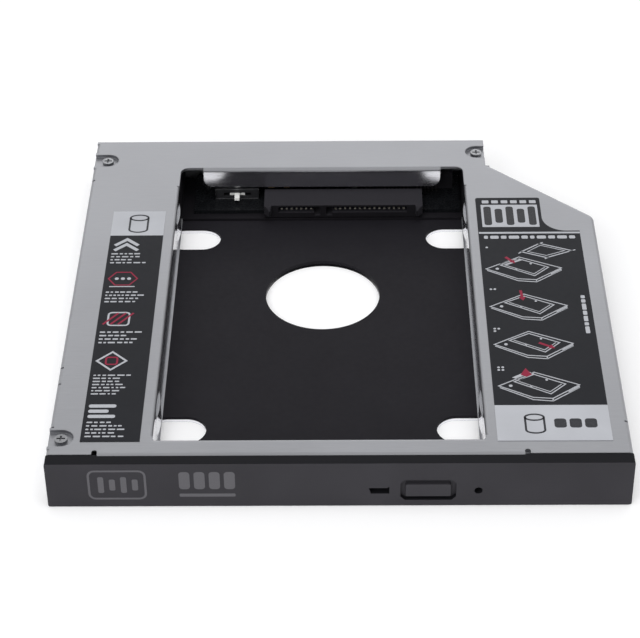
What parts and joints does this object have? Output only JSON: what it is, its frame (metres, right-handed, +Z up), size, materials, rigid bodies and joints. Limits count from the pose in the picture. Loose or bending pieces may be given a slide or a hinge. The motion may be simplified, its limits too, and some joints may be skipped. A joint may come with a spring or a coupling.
{
  "type": "laptop drive caddy",
  "caption": "Flat metal caddy with a black bezel that holds a 2.5 inch drive in a laptop's slim optical drive bay.",
  "frame": {"origin": "middle of the box's underside", "axes": "+X to the right seen from the bezel, +Y from the bezel to the rear connector, +Z up through the labelled top"},
  "size_m": [0.1286, 0.1292, 0.0127],
  "materials": {
    "frame_metal": "satin rolled sheet",
    "tray_metal": "satin rolled sheet",
    "liner_black": "smooth",
    "carrier_plastic": "fine moulded",
    "bezel_plastic": "fine moulded grain",
    "button_plastic": "fine moulded grain",
    "post_steel": "turned",
    "screw_steel": "plated",
    "board_green": "solder mask",
    "connector_plastic": "moulded",
    "contact_metal": "plated",
    "switch_plastic": "moulded",
    "switch_metal": "tinned",
    "lever_plastic": "smooth",
    "capacitor_body": "ceramic",
    "resistor_body": "ceramic",
    "label_black": "printed film",
    "label_silver": "printed film"
  },
  "bodies": {
    "case": {"top_frame": "frame_metal", "bottom_tray": "tray_metal", "floor_liner": "liner_black", "board_carrier": "carrier_plastic", "bezel": "bezel_plastic", "case_posts": "post_steel", "case_screws": "screw_steel", "circuit_board": "board_green", "board_posts": "post_steel", "board_screws": "screw_steel", "drive_connector": "connector_plastic", "signal_contacts": "contact_metal", "power_contacts": "contact_metal", "host_connector": "connector_plastic", "host_signal_contacts": "contact_metal", "host_power_contacts": "contact_metal", "switch_base": "switch_plastic", "switch_case": "switch_metal", "switch_terminals": "switch_metal", "capacitors": "capacitor_body", "resistors": "resistor_body", "warning_label": "label_black", "drive_icon_label": "label_silver", "step_label": "label_black", "drive_label": "label_silver"},
    "eject_button": {"eject_button": "button_plastic"},
    "switch_lever": {"switch_lever": "lever_plastic"}
  },
  "joints": [
    {"name": "eject_press", "type": "slide", "parent": "case", "child": "eject_button", "axis": [0, 1, 0], "range_m": [0, 0.0006], "stiffness_N_per_m": 400, "springref_m": -0.002},
    {"name": "switch_slide", "type": "slide", "parent": "case", "child": "switch_lever", "axis": [1, 0, 0], "range_m": [-0.0015, 0.0015]}
  ]
}
